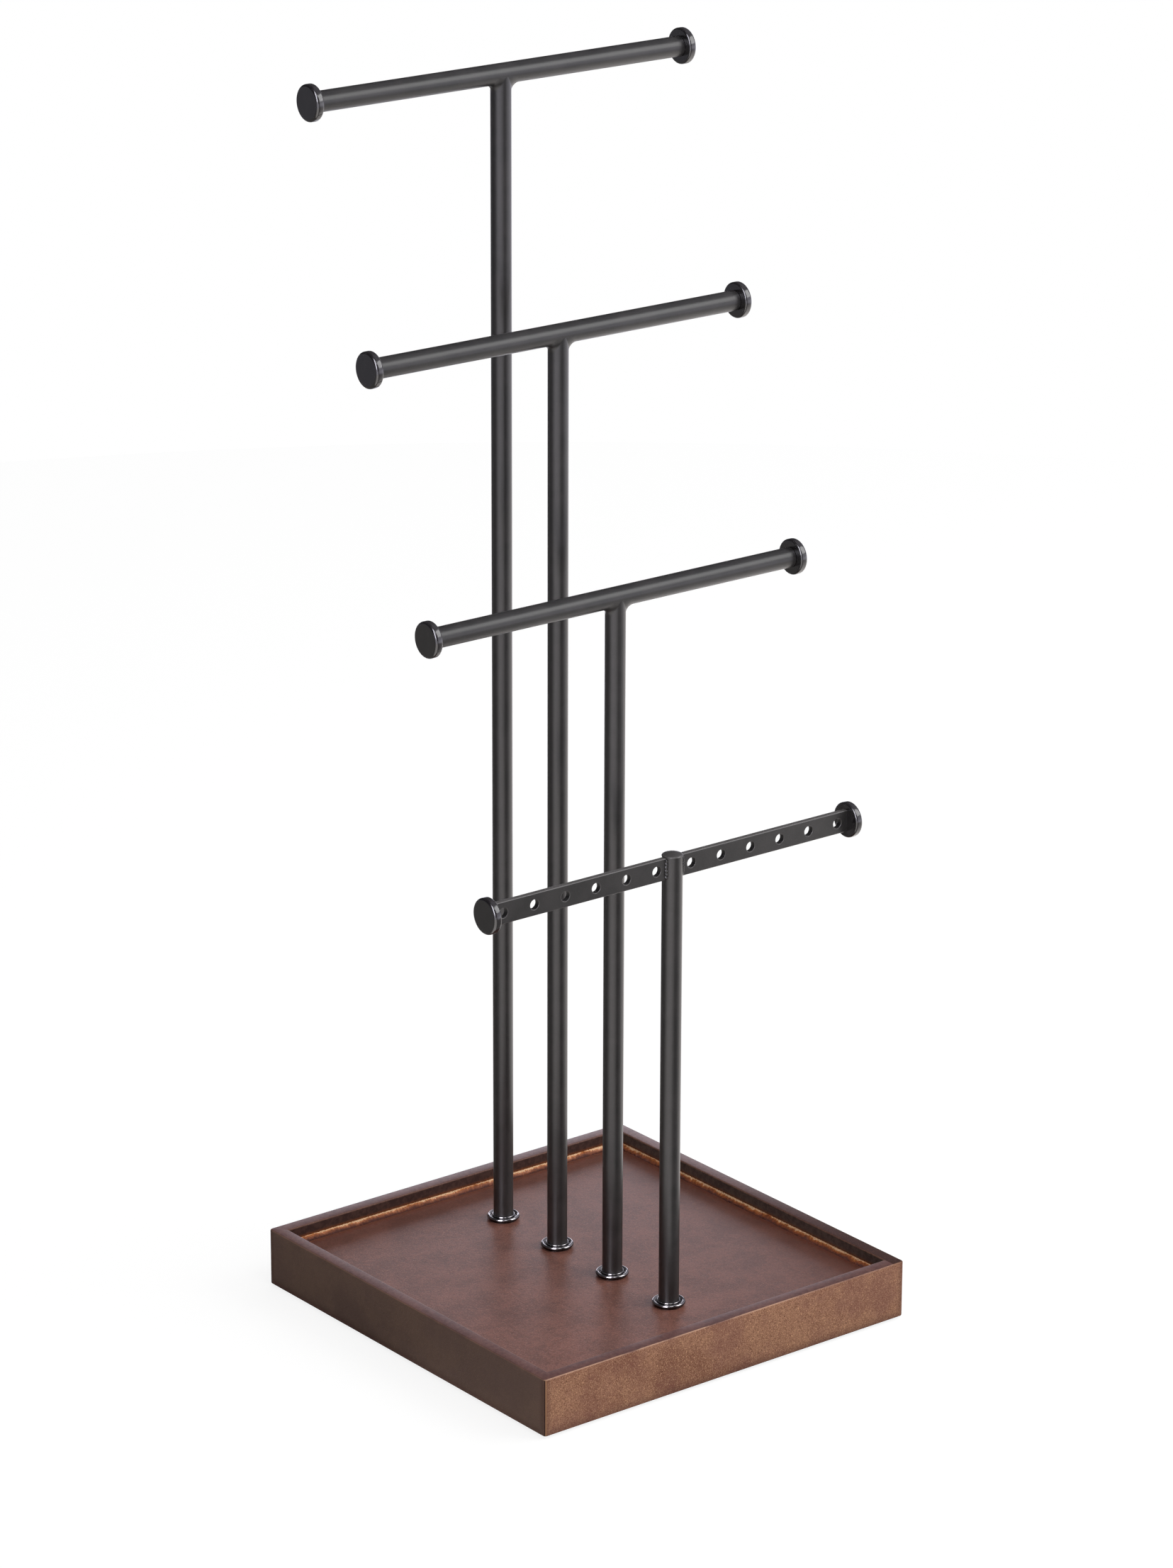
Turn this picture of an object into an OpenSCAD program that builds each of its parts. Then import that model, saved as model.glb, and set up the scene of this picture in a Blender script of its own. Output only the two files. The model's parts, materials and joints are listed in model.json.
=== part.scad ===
// Jewelry stand: a shallow square tray carries a row of four upright steel posts.
// Three posts end in a round cross bar, and the shortest holds a flat bar drilled for earrings.
// Millimetres. X runs along the cross bars, Y from the shortest post to the tallest, Z is up.
// The origin is on the table, under the middle of the tray.

/* [Tray] */
// Outside width and depth of the square tray
tray_w = 152.4; // [130:0.1:240]
// Height of the rails round the tray
rail_h = 20; // [17:0.1:40]
// Thickness of the rails
rail_t = 4.8; // [2.5:0.1:8]
// Thickness of the floor panel that the rails enclose
panel_t = 14.4; // [11:0.1:15]
// Radius of the tray's upright corners
corner_r = 1.2; // [0.4:0.1:3]
// Rounding along the rails' edges
edge_r = 0.5; // [0.2:0.1:1]
// Radius of the glue bead in the corner between floor and rails
bead_r = 1.5; // [0.6:0.1:3]

/* [Foot pads] */
// Diameter of the pads under the tray
pad_d = 12; // [6:0.5:20]
// Thickness of the pads
pad_t = 1; // [0.5:0.1:3]
// Distance of the pads' centres from the tray's sides
pad_inset = 16; // [12:0.5:30]

/* [Posts] */
// Height of the whole stand, to the top of the caps on the tallest cross bar
stand_h = 419.1; // [380:0.1:520]
// Outside diameter of the posts and of the round bars
tube_d = 6.8; // [6.4:0.1:8]
// Wall of the tubes
tube_wall = 0.8; // [0.6:0.1:1]
// Distance of the tallest and the shortest post from the tray's back and front
post_inset = 31.2; // [20:0.1:38]
// Drop from the tallest bar to the second
drop_2 = 79.6; // [60:0.1:100]
// Drop from the second bar to the third
drop_3 = 80.8; // [60:0.1:100]
// Drop from the third bar to the earring bar
drop_4 = 83.4; // [60:0.1:100]
// Height of the dome that closes the shortest post
dome_h = 1.2; // [0.8:0.1:2]
// How far the dome stands proud of the post
dome_overhang = 0.15; // [0:0.05:0.4]

/* [Cross bars] */
// Length of each cross bar over its end caps
bar_l = 152.4; // [120:0.1:200]
// Height of the flat earring bar
flat_h = 7.5; // [6:0.1:8.4]
// Thickness of the flat earring bar
flat_t = 2; // [1.5:0.1:2.5]
// Rounding along the flat bar's edges
flat_edge_r = 0.3; // [0.1:0.1:0.5]
// Diameter of the earring holes
earring_hole_d = 3.4; // [2:0.1:4]
// Distance from the post's side to the centre of the first earring hole
first_hole_gap = 3.8; // [3.2:0.1:6]
// Distance from the centre of the last earring hole to the end cap
last_hole_gap = 4.2; // [2.6:0.1:8]
// Earring holes on each side of the post
earring_holes = 6; // [2:1:7]

/* [End caps] */
// Diameter of the end caps
cap_d = 12; // [10:0.1:16]
// Thickness of the end caps
cap_t = 2.8; // [2.6:0.1:5]
// Rounding round the caps' outer face
cap_face_r = 0.7; // [0.4:0.1:1.4]
// Chamfer round the caps' back
cap_back_chamfer = 0.3; // [0.1:0.1:1]
// Length of the plug that holds a cap in its tube
cap_plug_l = 8; // [4:0.5:16]
// Depth of the socket that takes the flat bar's end
cap_socket = 1.7; // [0.8:0.1:1.8]

/* [Collars] */
// Diameter of the collars under the posts
collar_d = 11.2; // [10.8:0.1:16]
// Height of the collar's rounded rim
collar_h = 1.6; // [1.4:0.1:2.4]
// Radius of the collar's rounded rim
collar_rim_r = 0.6; // [0.4:0.05:0.7]
// Height of the dished top between the collar's rim and its lip
collar_dish_h = 1.1; // [1:0.1:1.3]
// Thickness of the collar's floor, which the post stands on
collar_web = 0.6; // [0.4:0.1:0.9]
// Width of the lip round the post
collar_lip = 0.5; // [0.3:0.1:0.7]
// How far the lip stands above the rim
collar_lip_rise = 0.2; // [0.1:0.05:0.6]

/* [Screws] */
// Diameter of the screws that hold the posts
screw_d = 4; // [3:0.1:4.2]
// Diameter of the screw heads
head_d = 7.6; // [6.5:0.1:8.4]
// Height of the screw heads
head_t = 2.4; // [1.8:0.1:3]
// Chamfer round the screw heads
head_chamfer = 0.5; // [0.2:0.1:0.8]
// Width of the arms of the cross recess
recess_w = 0.9; // [0.5:0.1:1.2]
// Length of the arms of the cross recess
recess_l = 4.2; // [3:0.1:5]
// Depth of the cross recess
recess_depth = 1.3; // [0.8:0.1:1.6]
// Diameter of the washers under the screw heads
washer_d = 9; // [8.6:0.1:10]
// Thickness of the washers
washer_t = 0.8; // [0.5:0.1:1.2]
// Diameter of the counterbores in the tray's underside
counterbore_d = 10.5; // [10.2:0.1:14]
// Depth of the counterbores
counterbore_depth = 4.4; // [4.2:0.1:6]
// Length of thread inside a post
thread_grip = 8.6; // [6:0.1:10]
// Length of the threaded plug in a post's foot
insert_l = 12; // [11:0.5:24]

/* [Welds] */
// Leg of the weld fillet under a round bar
weld_leg = 2.2; // [1:0.1:2.6]
// Radius of the beads that hold the flat bar in its slot
weld_bead_r = 0.8; // [0.4:0.1:1.1]

/* [Hidden] */
$fn = 64;

// How far a cutting shape runs past what it cuts
overrun = 1;
// Play between a plug and the tube that it is pressed into
press_gap = 0.02;
// Play between a post and its collar, a bar and its slot, or a screw and its thread
seat_gap = 0.05;
// Play that the screws have in the panel, the collars and the washers
screw_gap = 0.15;
// Gap that the weld bridges between a post's cut end and the bar
weld_gap = 0.05;
// Empty thread beyond the screw's end
thread_spare = 1;
// Chamfer at the mouth of the threaded plug
insert_chamfer = 0.4;
// Upright edge and chamfer of the dome, from the post's rim up
dome_edge = 0.25;
dome_chamfer = 0.3;

// Posts are counted from the tallest, 1, to the shortest, 4
TIERS = [1, 2, 3, 4];
post_pitch = (tray_w - 2 * post_inset) / (len(TIERS) - 1);
tube_r = tube_d / 2;
bore_r = tube_r - tube_wall;
floor_z = pad_t + panel_t;
rim_z = pad_t + rail_h;
post_z = floor_z + collar_web;
bar_top_z = stand_h - cap_d / 2;
BAR_Z = [bar_top_z, bar_top_z - drop_2, bar_top_z - drop_2 - drop_3, bar_top_z - drop_2 - drop_3 - drop_4];
flat_top_z = BAR_Z[3] + flat_h / 2;
flat_l = bar_l - 2 * (cap_t - cap_socket + seat_gap);
first_hole_x = tube_r + first_hole_gap;
hole_pitch = (bar_l / 2 - cap_t - last_hole_gap - first_hole_x) / (earring_holes - 1);
washer_z = pad_t + counterbore_depth - washer_t;
screw_end_z = post_z + thread_grip;
// Radius of the surfaces that a weld fillet lies on
joint_r = tube_r + weld_gap;
// Sections of a weld fillet across the bar, steps of its hollow face, and its half angle
weld_sections = 11;
weld_steps = 5;
weld_half_angle = 74;

wood = "#6e4f45";
rail_wood = "#7d5c4a";
bead_brown = "#b8763f";
charcoal = "#414042";
black_nickel = "#2f2e30";
steel = "#a9abad";
rubber = "#2a2a2c";

function post_y(tier) = (len(TIERS) + 1 - 2 * tier) * post_pitch / 2;

// Section of a bar, w across and h high, with its four edges rounded
module eased_section(w, h, r) {
    translate([r, 0]) square([w - 2 * r, h]);
    translate([0, r]) square([w, h - 2 * r]);
    for (x = [r, w - r], y = [r, h - r])
        translate([x, y]) circle(r);
}

// An eased bar along X, centred on the origin in X and starting at it in Y and Z
module eased_bar(l, w, h, r) {
    translate([-l / 2, 0, 0]) rotate([90, 0, 90]) linear_extrude(l) eased_section(w, h, r);
}

// Everything between the two diagonals of the tray, on its front side
module mitre_wedge() {
    reach = tray_w / 2 + overrun;
    translate([0, 0, -overrun])
        linear_extrude(rim_z + 2 * overrun) polygon([[-reach, -reach], [reach, -reach], [0, 0]]);
}

// Column with the tray's rounded upright corners
module tray_column() {
    translate([-tray_w / 2, -tray_w / 2, 0]) linear_extrude(rim_z) eased_section(tray_w, tray_w, corner_r);
}

// One mitred rail, turned about the tray's middle from the front
module rail(turn) {
    color(rail_wood) rotate([0, 0, turn]) intersection() {
        translate([0, -tray_w / 2, pad_t]) eased_bar(tray_w, rail_t, rail_h, edge_r);
        mitre_wedge();
        tray_column();
    }
}

// Floor of the tray, with a clearance hole and a counterbore under each post
module floor_panel() {
    w = tray_w - 2 * rail_t;
    color(wood) difference() {
        translate([-w / 2, -w / 2, pad_t]) cube([w, w, panel_t]);
        for (tier = TIERS) translate([0, post_y(tier), 0]) {
            translate([0, 0, pad_t - overrun]) cylinder(h = panel_t + 2 * overrun, d = screw_d + 2 * screw_gap);
            translate([0, 0, pad_t - overrun]) cylinder(h = counterbore_depth + overrun, d = counterbore_d);
        }
    }
}

// Bead of stained glue that fills the corner between the floor and the four rails
module glue_bead() {
    l = tray_w - 2 * rail_t;
    color(bead_brown) for (turn = [0:90:270]) rotate([0, 0, turn]) intersection() {
        translate([-l / 2, -l / 2, floor_z]) rotate([90, 0, 90]) linear_extrude(l)
            intersection() {
                circle(bead_r);
                square(bead_r);
            }
        mitre_wedge();
    }
}

module foot_pads() {
    reach = tray_w / 2 - pad_inset;
    color(rubber) for (x = [-reach, reach], y = [-reach, reach])
        translate([x, y, 0]) cylinder(h = pad_t, d = pad_d);
}

// Four pan-head screws that come up through the floor panel into the posts' feet
module base_screws() {
    color(steel) for (tier = TIERS) translate([0, post_y(tier), washer_z - head_t]) difference() {
        union() {
            cylinder(h = head_chamfer, d1 = head_d - 2 * head_chamfer, d2 = head_d);
            translate([0, 0, head_chamfer]) cylinder(h = head_t - head_chamfer, d = head_d);
            cylinder(h = screw_end_z - washer_z + head_t, d = screw_d - 2 * seat_gap);
        }
        for (turn = [45, 135]) rotate([0, 0, turn])
            translate([-recess_l / 2, -recess_w / 2, -overrun]) cube([recess_l, recess_w, recess_depth + overrun]);
    }
}

module screw_washers() {
    color(steel) for (tier = TIERS) translate([0, post_y(tier), washer_z]) difference() {
        cylinder(h = washer_t, d = washer_d);
        translate([0, 0, -overrun]) cylinder(h = washer_t + 2 * overrun, d = screw_d + 2 * screw_gap);
    }
}

// Round-rimmed collar with a lip: the post stands in it, and the screw passes through its floor
module collar(tier) {
    rim_at = collar_d / 2 - collar_rim_r;
    seat_r = tube_r + seat_gap;
    lip_r = collar_lip / 2;
    lip_z = collar_h + collar_lip_rise - lip_r;
    color(black_nickel) translate([0, post_y(tier), floor_z]) difference() {
        union() {
            rotate_extrude() translate([rim_at, collar_h - collar_rim_r]) circle(collar_rim_r);
            cylinder(h = collar_dish_h, r = rim_at);
            cylinder(h = lip_z, r = seat_r + collar_lip);
            rotate_extrude() translate([seat_r + lip_r, lip_z]) circle(lip_r);
        }
        translate([0, 0, collar_web]) cylinder(h = lip_z + overrun, r = seat_r);
        translate([0, 0, -overrun]) cylinder(h = collar_h + 2 * overrun, d = screw_d + 2 * screw_gap);
    }
}

// Threaded plug pressed into a post's foot
module insert(tier) {
    chamfer = min(insert_chamfer, (bore_r - press_gap - screw_d / 2) / 2);
    color(steel) translate([0, post_y(tier), post_z]) difference() {
        cylinder(h = insert_l, r = bore_r - press_gap);
        translate([0, 0, -overrun]) cylinder(h = thread_grip + thread_spare + overrun, d = screw_d);
        cylinder(h = chamfer, d1 = screw_d + 2 * chamfer, d2 = screw_d);
    }
}

// Tube from a post's foot up to a given height
module post_tube(tier, top_z) {
    translate([0, post_y(tier), post_z]) difference() {
        cylinder(h = top_z - post_z, r = tube_r);
        translate([0, 0, -overrun]) cylinder(h = top_z - post_z + 2 * overrun, r = bore_r);
    }
}

// Post whose end is cut hollow to fit round the bar that it carries
module post(tier) {
    color(charcoal) difference() {
        post_tube(tier, BAR_Z[tier - 1]);
        translate([0, post_y(tier), BAR_Z[tier - 1]]) rotate([0, 90, 0])
            cylinder(h = tube_d + 2 * overrun, r = joint_r, center = true);
    }
}

// Shortest post, slotted from the top for the flat bar
module slotted_post(tier) {
    slot_w = flat_t + 2 * seat_gap;
    slot_h = flat_h + seat_gap;
    color(charcoal) difference() {
        post_tube(tier, flat_top_z);
        translate([-tube_r - overrun, post_y(tier) - slot_w / 2, flat_top_z - slot_h])
            cube([tube_d + 2 * overrun, slot_w, slot_h + overrun]);
    }
}

// Low dome with a chamfered edge that closes the slotted post over the flat bar
module post_dome(tier) {
    edge_at = tube_r + dome_overhang;
    face_r = edge_at - dome_chamfer;
    rise = dome_h - dome_edge - dome_chamfer;
    ball_r = (face_r * face_r + rise * rise) / (2 * rise);
    color(charcoal) translate([0, post_y(tier), flat_top_z]) {
        cylinder(h = dome_edge, r = edge_at);
        translate([0, 0, dome_edge]) cylinder(h = dome_chamfer, r1 = edge_at, r2 = face_r);
        intersection() {
            translate([0, 0, dome_edge]) cylinder(h = dome_h, r = face_r);
            translate([0, 0, dome_h - ball_r]) sphere(ball_r, $fn = 128);
        }
    }
}

// Round cross bar, a tube between its two caps
module round_bar(tier) {
    l = bar_l - 2 * cap_t;
    color(charcoal) translate([0, post_y(tier), BAR_Z[tier - 1]]) rotate([0, 90, 0]) difference() {
        cylinder(h = l, r = tube_r, center = true);
        cylinder(h = l + 2 * overrun, r = bore_r, center = true);
    }
}

// Flat cross bar with its row of earring holes
module earring_bar(tier) {
    color(charcoal) translate([0, post_y(tier), flat_top_z - flat_h]) difference() {
        translate([0, -flat_t / 2, 0]) eased_bar(flat_l, flat_t, flat_h, flat_edge_r);
        for (side = [-1, 1], i = [0:earring_holes - 1])
            translate([side * (first_hole_x + i * hole_pitch), 0, flat_h / 2]) rotate([90, 0, 0])
                cylinder(h = flat_t + 2 * overrun, d = earring_hole_d, center = true);
    }
}

// Section of the fillet where it crosses the bar at angle a: the corner, then the hollow face
function fillet_section(a) =
    let (corner = [joint_r * cos(a), joint_r * sin(a), -joint_r * cos(a)], leg = weld_leg * cos(a))
    concat([corner], [for (k = [0:weld_steps]) let (turn = 180 - 90 * k / weld_steps)
        corner + leg * [1 + cos(turn), 0, sin(turn) - 1]]);

// Weld fillet on one side of a post, between the post and the underside of its bar
module fillet() {
    n = weld_steps + 2;
    last = (weld_sections - 1) * n;
    points = [for (s = [0:weld_sections - 1])
        each fillet_section(weld_half_angle * (2 * s / (weld_sections - 1) - 1))];
    sides = [for (s = [0:weld_sections - 2], j = [0:n - 1])
        let (a = s * n + j, b = s * n + (j + 1) % n)
        each [[a, b, b + n], [a, b + n, a + n]]];
    near_end = [for (j = [1:n - 2]) [0, j + 1, j]];
    far_end = [for (j = [1:n - 2]) [last, last + j, last + j + 1]];
    polyhedron(points = points, faces = concat(sides, near_end, far_end));
}

// The two fillets that join a post to its round bar
module weld(tier) {
    color(charcoal) translate([0, post_y(tier), BAR_Z[tier - 1]]) for (side = [0, 1])
        mirror([side, 0, 0]) fillet();
}

// The four upright beads that join the slotted post to the flat bar
module slot_weld(tier) {
    corner_x = sqrt(tube_r * tube_r - flat_t * flat_t / 4);
    color(charcoal) translate([0, post_y(tier), flat_top_z - flat_h]) difference() {
        for (x = [-corner_x, corner_x], y = [-flat_t / 2, flat_t / 2])
            translate([x, y, flat_edge_r]) cylinder(h = flat_h - 2 * flat_edge_r, r = weld_bead_r);
        translate([0, 0, -overrun]) cylinder(h = flat_h + 2 * overrun, r = joint_r);
        translate([-tube_d, -flat_t / 2 - weld_gap, -overrun])
            cube([2 * tube_d, flat_t + 2 * weld_gap, flat_h + 2 * overrun]);
    }
}

// Button that closes a bar's end: the outer face is at the origin and the bar lies along +Z
module cap_button() {
    band_z = cap_t - cap_back_chamfer;
    back_r = cap_d / 2 - cap_back_chamfer;
    rotate_extrude() {
        square([cap_d / 2 - cap_face_r, band_z]);
        translate([0, cap_face_r]) square([cap_d / 2, band_z - cap_face_r]);
        translate([cap_d / 2 - cap_face_r, cap_face_r]) intersection() {
            circle(cap_face_r);
            translate([0, -cap_face_r]) square(cap_face_r);
        }
        polygon([[0, band_z], [cap_d / 2, band_z], [back_r, cap_t], [0, cap_t]]);
    }
}

// Puts a cap on the end of its bar, side -1 for the left and 1 for the right
module at_bar_end(tier, side) {
    translate([side * bar_l / 2, post_y(tier), BAR_Z[tier - 1]]) rotate([0, -90 * side, 0]) children();
}

// Cap of a round bar, with the plug that is pressed into the tube
module plug_cap(tier, side) {
    color(black_nickel) at_bar_end(tier, side) {
        cap_button();
        cylinder(h = cap_t + cap_plug_l, r = bore_r - press_gap);
    }
}

// Cap of the flat bar, with the socket that takes the bar's end
module socket_cap(tier, side) {
    w = flat_h + 2 * seat_gap;
    t = flat_t + 2 * seat_gap;
    color(black_nickel) at_bar_end(tier, side) difference() {
        cap_button();
        translate([-w / 2, -t / 2, cap_t - cap_socket]) cube([w, t, cap_socket + overrun]);
    }
}

floor_panel();
rail(0);  // rail_front
rail(90);  // rail_right
rail(180);  // rail_back
rail(270);  // rail_left
glue_bead();
foot_pads();
base_screws();
screw_washers();
collar(1);  // collar_1
collar(2);  // collar_2
collar(3);  // collar_3
collar(4);  // collar_4
insert(1);  // insert_1
insert(2);  // insert_2
insert(3);  // insert_3
insert(4);  // insert_4
post(1);  // post_1
post(2);  // post_2
post(3);  // post_3
slotted_post(4);  // post_4
post_dome(4);  // post_4_dome
round_bar(1);  // bar_1
round_bar(2);  // bar_2
round_bar(3);  // bar_3
earring_bar(4);
weld(1);  // weld_1
weld(2);  // weld_2
weld(3);  // weld_3
slot_weld(4);  // weld_4
plug_cap(1, -1);  // cap_1_left
plug_cap(1, 1);  // cap_1_right
plug_cap(2, -1);  // cap_2_left
plug_cap(2, 1);  // cap_2_right
plug_cap(3, -1);  // cap_3_left
plug_cap(3, 1);  // cap_3_right
socket_cap(4, -1);  // cap_4_left
socket_cap(4, 1);  // cap_4_right
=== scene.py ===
# %% [markdown]
# # A jewelry stand with a tray and four posts
#
# Four steel posts of falling height stand in one row in a shallow square tray of stained fibreboard. Three
# of them carry a round cross bar, and the shortest carries a flat bar drilled for earrings. This lesson
# dresses the stand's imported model: every piece keeps its place and size, and gets its rounded edges,
# welds, glue line and finishes. The model comes first, because every later size is read from it.

import json
import math

import bmesh
import bpy
import numpy as np
from mathutils import Matrix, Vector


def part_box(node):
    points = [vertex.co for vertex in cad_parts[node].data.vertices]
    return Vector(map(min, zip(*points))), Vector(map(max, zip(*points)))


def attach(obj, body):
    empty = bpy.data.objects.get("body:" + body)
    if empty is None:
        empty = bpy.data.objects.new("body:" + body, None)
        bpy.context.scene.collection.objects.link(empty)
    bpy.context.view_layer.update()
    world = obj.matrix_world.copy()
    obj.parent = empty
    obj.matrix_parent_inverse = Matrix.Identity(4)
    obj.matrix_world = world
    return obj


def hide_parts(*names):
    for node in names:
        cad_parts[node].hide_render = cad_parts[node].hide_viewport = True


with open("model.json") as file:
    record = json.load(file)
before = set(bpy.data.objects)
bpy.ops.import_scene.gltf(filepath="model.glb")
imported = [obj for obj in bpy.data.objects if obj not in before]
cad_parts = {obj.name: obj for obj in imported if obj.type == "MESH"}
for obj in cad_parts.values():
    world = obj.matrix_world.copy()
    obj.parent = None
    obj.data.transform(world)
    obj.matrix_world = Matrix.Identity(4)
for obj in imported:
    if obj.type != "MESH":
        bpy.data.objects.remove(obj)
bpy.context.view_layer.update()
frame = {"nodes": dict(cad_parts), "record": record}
MM = 0.001
BODY = "root"

# %% [markdown]
# ## Sizes read from the model
#
# Numbers copied by hand would go wrong at the first change of the model, so each size is taken from the
# boxes of its nodes. Millimetres only appear where a box says nothing, such as how soft a corner is.

# %% Sizes of the tray, the posts and the bars
def box(node):
    """Lowest corner, highest corner and middle of a node, each as an array of x, y and z."""
    low, high = (np.array(corner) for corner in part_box(node))
    return low, high, (low + high) / 2


def width(node, axis):
    """Size of a node along one axis."""
    low, high, _ = box(node)
    return high[axis] - low[axis]


TIERS = (1, 2, 3, 4)
ROUND_TIERS, FLAT_TIER = TIERS[:3], TIERS[3]
PRESS_GAP = 0.02 * MM
tray_half = box("rail_right")[1][0]
wall_x = box("rail_right")[0][0]
rail_low, rail_high, _ = box("rail_front")
floor_z = box("floor_panel")[1][2]
corner_r = (tray_half - rail_high[0]) / (1 - math.sqrt(0.5))
bead_r = box("glue_bead")[1][2] - floor_z
post_foot = box("post_1")[0][2]
post_y = {tier: box(f"post_{tier}")[2][1] for tier in TIERS}
bar_z = {tier: box(f"cap_{tier}_left")[2][2] for tier in TIERS}
bar_end = box("bar_1")[1][0]
tube_r = width("bar_1", 2) / 2
bore_r = width("insert_1", 0) / 2 + PRESS_GAP
print("tray half width", round(tray_half, 4), "corner radius", round(corner_r, 5), "bead", round(bead_r, 5))
print("posts at y", {tier: round(float(y), 4) for tier, y in post_y.items()})

# %% [markdown]
# ## The camera
#
# The stand is seen from its front left corner and a little from above, through a long lens that keeps its
# uprights nearly parallel. The camera's three axes are worked out from a bearing and a rise, so that
# either can be changed by itself.

# %% Place the camera
VIEW_BEARING = -38.31
VIEW_RISE = 18.96
VIEW_ROLL = 0.17
VIEW_DISTANCE = 1.777
VIEW_AIM = np.array([-2.68, -3.70, 186.71]) * MM
LENS_MM = 125.04
FILM_MM = 36


def direction(bearing, rise):
    """Unit vector at a bearing from +X and a rise above the horizon, both in degrees."""
    bearing, rise = math.radians(bearing), math.radians(rise)
    return np.array([math.cos(bearing) * math.cos(rise), math.sin(bearing) * math.cos(rise), math.sin(rise)])


def view_axes(bearing, rise, roll):
    """Right, up and back of a camera that looks along +Y at bearing 0.

    Back points at the camera, right is level until the roll turns it, and up is back x right.
    """
    back, level = direction(bearing - 90, rise), direction(bearing, 0)
    roll = math.radians(roll)
    right = math.cos(roll) * level + math.sin(roll) * np.cross(back, level)
    return right, np.cross(back, right), back


def place(name, data, right, up, back, at):
    """Object whose own x, y and z axes are right, up and back, standing at a point."""
    thing = bpy.data.objects.new(name, data)
    pose = np.eye(4)
    pose[:3, :4] = np.column_stack([right, up, back, at])
    thing.matrix_world = Matrix(pose.tolist())
    bpy.context.scene.collection.objects.link(thing)
    return thing


def place_camera():
    """Camera at aim + distance * back, with its film measured along the upright side of the picture."""
    data = bpy.data.cameras.new("camera")
    data.sensor_fit = "VERTICAL"
    data.sensor_height = FILM_MM
    data.lens = LENS_MM
    axes = view_axes(VIEW_BEARING, VIEW_RISE, VIEW_ROLL)
    camera = place("camera", data, *axes, VIEW_AIM + VIEW_DISTANCE * axes[2])
    bpy.context.scene.camera = camera
    return camera


camera = place_camera()
print("camera at", np.round(camera.matrix_world.translation, 3).tolist())

# %% [markdown]
# ## Node trees written as sums
#
# A finish is a sum of patterns: a broad mottle, a fine grain, a mask for the worn edges. A small class
# round a socket lets Python's own + - * / build the Math nodes, so that a material reads like its
# formula. Every other node comes from one method, `add`, and `blend` takes colours as hex codes.

# %% Signals
def tone(code):
    """Linear colour of a hex code: c / 12.92 for a dark channel, and ((c + 0.055) / 1.055) ** 2.4 above."""
    c = np.array([int(code[i:i + 2], 16) for i in (0, 2, 4)]) / 255
    linear = np.where(c <= 0.04045, c / 12.92, ((c + 0.055) / 1.055) ** 2.4)
    return (*linear.tolist(), 1.0)


def operator(operation, flipped=False):
    """Method that joins a signal and another value, or the two flipped, in one Math node."""
    def join(self, other):
        pair = (other, self) if flipped else (self, other)
        return self.tree.add("ShaderNodeMath", {"operation": operation}, dict(enumerate(pair)))
    return join


class Signal:
    """A number, colour or vector that varies from place to place: an output socket and its tree."""

    def __init__(self, tree, socket):
        self.tree = tree
        self.socket = socket

    __add__ = __radd__ = operator("ADD")
    __sub__ = operator("SUBTRACT")
    __rsub__ = operator("SUBTRACT", flipped=True)
    __mul__ = __rmul__ = operator("MULTIPLY")
    __truediv__ = operator("DIVIDE")
    __pow__ = operator("POWER")
    larger = operator("MAXIMUM")
    smaller = operator("MINIMUM")

    def size(self):
        """The value without its sign."""
        return self.tree.add("ShaderNodeMath", {"operation": "ABSOLUTE"}, {0: self})

    def step(self, low, high):
        """0 up to low, 1 from high on and a smooth S between; it falls if low is above high."""
        ends = {"Value": self, "From Min": min(low, high), "From Max": max(low, high)}
        rise = self.tree.add("ShaderNodeMapRange", {"interpolation_type": "SMOOTHSTEP"}, ends)
        return rise if low < high else 1 - rise


print("mid grey is", round(tone("808080")[0], 3), "in linear light")


# %% Node trees
class Tree:
    """A node tree, with one method that adds any node and a few short names for the common ones."""

    def __init__(self, nodes):
        self.nodes = nodes

    def add(self, kind, settings=None, sockets=None, out=0):
        """Adds a node, makes its settings, then fills its inputs by name or number with values or signals."""
        node = self.nodes.nodes.new(kind)
        for name, value in (settings or {}).items():
            setattr(node, name, value)
        for name, value in (sockets or {}).items():
            self.feed(node.inputs[name], value)
        return Signal(self, node.outputs[out])

    def feed(self, socket, value):
        """Links a signal to an input, or writes a plain value into it."""
        if isinstance(value, Signal):
            self.nodes.links.new(value.socket, socket)
        else:
            socket.default_value = value

    def blend(self, first, second, amount):
        """Colour that goes from the first to the second, signals or hex codes, as amount goes from 0 to 1."""
        first, second = (tone(colour) if isinstance(colour, str) else colour for colour in (first, second))
        return self.add("ShaderNodeMix", {"data_type": "RGBA"}, {0: amount, 6: first, 7: second}, out=2)

    def layers(self, colour, *coats):
        """A colour under coats, each a colour and how much of it covers what lies below."""
        for coat, cover in coats:
            colour = self.blend(colour, coat, cover)
        return colour

    def axes(self, vector):
        """The x, y and z of a vector."""
        split = self.add("ShaderNodeSeparateXYZ", None, {0: vector})
        return [Signal(self, split.socket.node.outputs[axis]) for axis in range(3)]


print("a tree adds nodes, feeds sockets, blends colours and splits vectors")

# %% [markdown]
# ## Studio
#
# Polished and painted metal shows its surroundings more than itself, so they come before any finish. The
# stand is in a white room, lit by a large soft lamp at the right and a smaller one high in front. A low
# panel close behind the tray lights nothing: the lacquer mirrors it, as a haze on floor and rims.

# %% Softboxes
MIDDLE = np.array([0, 0, 0.2])
TRAY_MIDDLE = np.array([0, 0, floor_z])
SHEEN_TINT = (0.97, 0.97, 1.10)


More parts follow.
